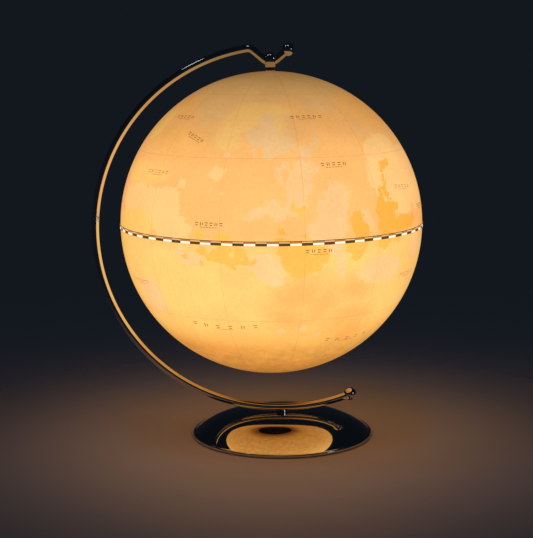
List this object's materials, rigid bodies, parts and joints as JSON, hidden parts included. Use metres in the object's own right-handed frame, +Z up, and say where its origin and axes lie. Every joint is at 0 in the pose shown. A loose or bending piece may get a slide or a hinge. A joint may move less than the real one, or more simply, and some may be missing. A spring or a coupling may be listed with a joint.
{
  "type": "desk globe lamp",
  "caption": "Glowing globe on a spindle that hangs from a C-shaped chrome rod with a V bend at its top, standing on a round domed chrome base.",
  "frame": {"origin": "centre of the flat pad under the base, on the table", "axes": "+Z up; the rod's arc lies in the XZ plane with its back towards -X; the globe's front faces -Y"},
  "size_m": [0.3524, 0.3212, 0.4213],
  "materials": {
    "polished_chrome": "mirror polished plating",
    "plated_steel": "zinc plated",
    "cast_iron": "as cast",
    "eva_foam": "fine matt foam",
    "globe_shell": "printed translucent shell",
    "equator_tape": "printed tape",
    "white_plastic": "moulded",
    "black_plastic": "moulded, fine grain",
    "natural_acetal": "turned",
    "circuit_board": "solder resist",
    "aluminium_board": "white coated",
    "cell_wrap": "shrink sleeve over a steel can",
    "red_insulation": "wire insulation",
    "led_phosphor": "moulded",
    "opal_plastic": "opal moulding"
  },
  "bodies": {
    "stand": {"base_shell": "polished_chrome", "ballast_plate": "cast_iron", "bottom_cover": "plated_steel", "base_pad": "eva_foam", "cover_screw_1": "plated_steel", "cover_screw_2": "plated_steel", "cover_screw_3": "plated_steel", "arm_boss": "polished_chrome", "arm_bolt": "plated_steel", "lock_washer": "plated_steel", "bolt_washer": "plated_steel", "arm_rod": "polished_chrome", "lower_ball": "polished_chrome", "upper_ball": "polished_chrome"},
    "hanger": {"hanger_hub": "polished_chrome", "neck_spacer": "black_plastic", "spindle_washer": "plated_steel", "spindle_nut": "plated_steel"},
    "globe": {"upper_shell": "globe_shell", "lower_shell": "globe_shell", "equator_band": "equator_tape", "joining_ring": "white_plastic", "top_bushing": "natural_acetal", "bushing_nut": "black_plastic", "lamp_collar": "white_plastic", "lamp_housing": "white_plastic", "bottom_cap": "black_plastic", "control_board": "circuit_board", "board_screw_1": "plated_steel", "board_screw_2": "plated_steel", "tact_switch": "black_plastic", "usb_socket": "plated_steel", "battery_cell": "cell_wrap", "cell_spacer": "eva_foam", "lead_red": "red_insulation", "lead_black": "black_plastic", "led_board": "aluminium_board", "led_1": "led_phosphor", "led_2": "led_phosphor", "led_3": "led_phosphor", "led_4": "led_phosphor", "led_5": "led_phosphor", "led_6": "led_phosphor", "led_diffuser": "opal_plastic"},
    "button": {"power_button": "black_plastic"}
  },
  "joints": [
    {"name": "hanger_rock", "type": "hinge", "parent": "stand", "child": "hanger", "pos_m": [-0.0103, 0, 0.40216], "axis": [1, 0, 0], "range_deg": [-6, 6]},
    {"name": "globe_spin", "type": "hinge", "parent": "hanger", "child": "globe", "pos_m": [-0.0103, 0, 0.232], "axis": [0, 0, 1], "continuous": true},
    {"name": "button_press", "type": "slide", "parent": "globe", "child": "button", "axis": [0, 0, 1], "range_m": [0, 0.001], "stiffness_N_per_m": 1500}
  ]
}
